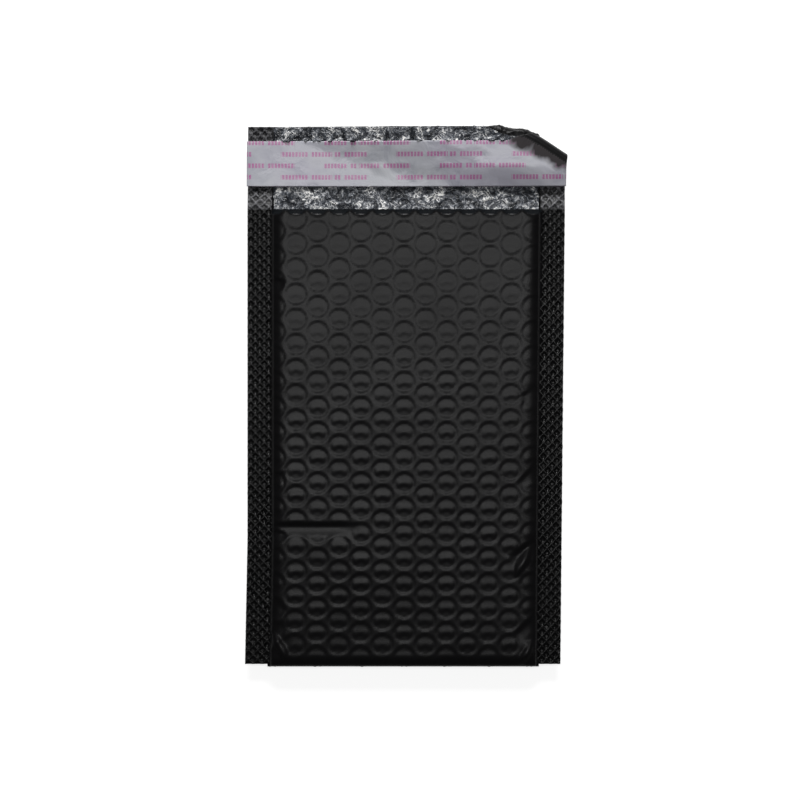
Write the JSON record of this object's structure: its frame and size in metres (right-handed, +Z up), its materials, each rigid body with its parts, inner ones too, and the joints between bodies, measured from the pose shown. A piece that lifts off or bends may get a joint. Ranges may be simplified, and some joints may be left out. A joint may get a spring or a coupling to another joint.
{
  "type": "padded envelope",
  "caption": "Empty black bubble-lined mailing envelope lying flat, unsealed, its flap open with the pale release liner still on and one flap corner curled under.",
  "frame": {"origin": "centre of the bounding box's underside, on the surface the envelope lies on", "axes": "+X across the envelope, +Y from the bottom fold towards the flap, +Z up out of the front panel"},
  "size_m": [0.1514, 0.255, 0.0105],
  "materials": {
    "black_film": "matt embossed polyethylene film",
    "bubble_film": "clear glossy bubble film over black",
    "adhesive": "tacky hot-melt adhesive",
    "release_film": null
  },
  "bodies": {
    "root": {"outer_film": "black_film", "bubble_liner": "bubble_film", "adhesive_strip": "adhesive", "release_liner": "release_film"}
  },
  "joints": []
}
